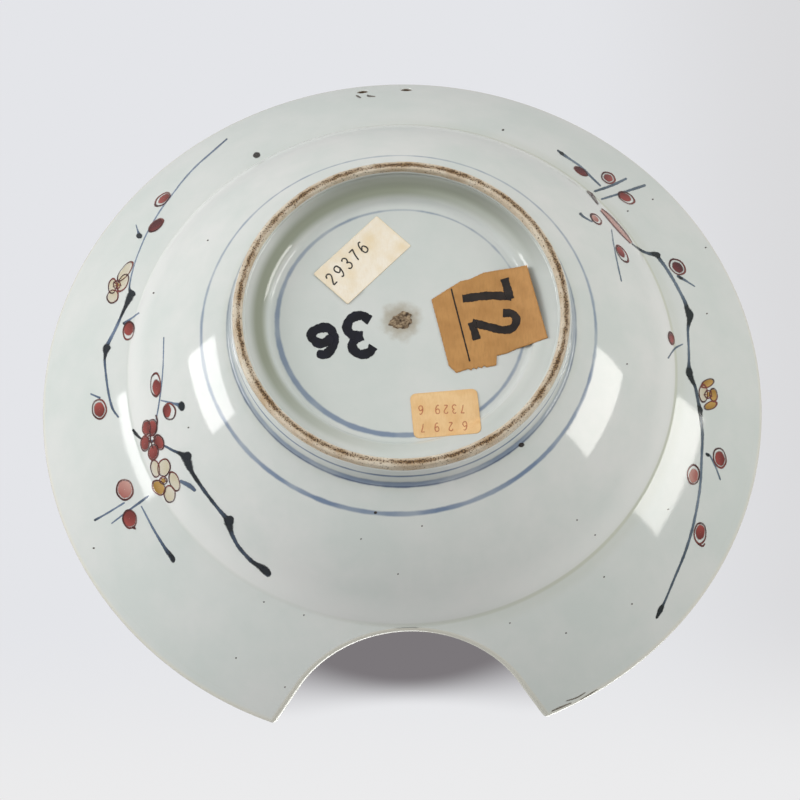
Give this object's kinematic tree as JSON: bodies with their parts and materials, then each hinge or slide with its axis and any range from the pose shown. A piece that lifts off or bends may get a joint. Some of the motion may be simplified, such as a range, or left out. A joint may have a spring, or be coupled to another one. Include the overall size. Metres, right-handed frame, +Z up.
{
  "type": "barber bowl",
  "caption": "Round porcelain barber bowl: deep well on a foot ring, wide rising flange with a neck notch and holes for a hanging cord.",
  "frame": {"origin": "centre of the plane that the foot ring stands on, on the bowl's axis", "axes": "+Z up out of the mouth, neck notch opens towards -Y, hanging holes at +Y, +X along the widest span"},
  "size_m": [0.275, 0.2655, 0.082],
  "materials": {
    "bare_porcelain": "matte",
    "celadon_glaze": "gloss",
    "spur_clay": "matte",
    "cream_paper": "matte",
    "brown_paper": "matte",
    "buff_paper": "matte"
  },
  "bodies": {
    "root": {"porcelain_body": "bare_porcelain", "glaze_coat": "celadon_glaze", "base_glaze": "celadon_glaze", "spur_stub": "spur_clay", "cream_label": "cream_paper", "torn_label": "brown_paper", "buff_label": "buff_paper"}
  },
  "joints": []
}
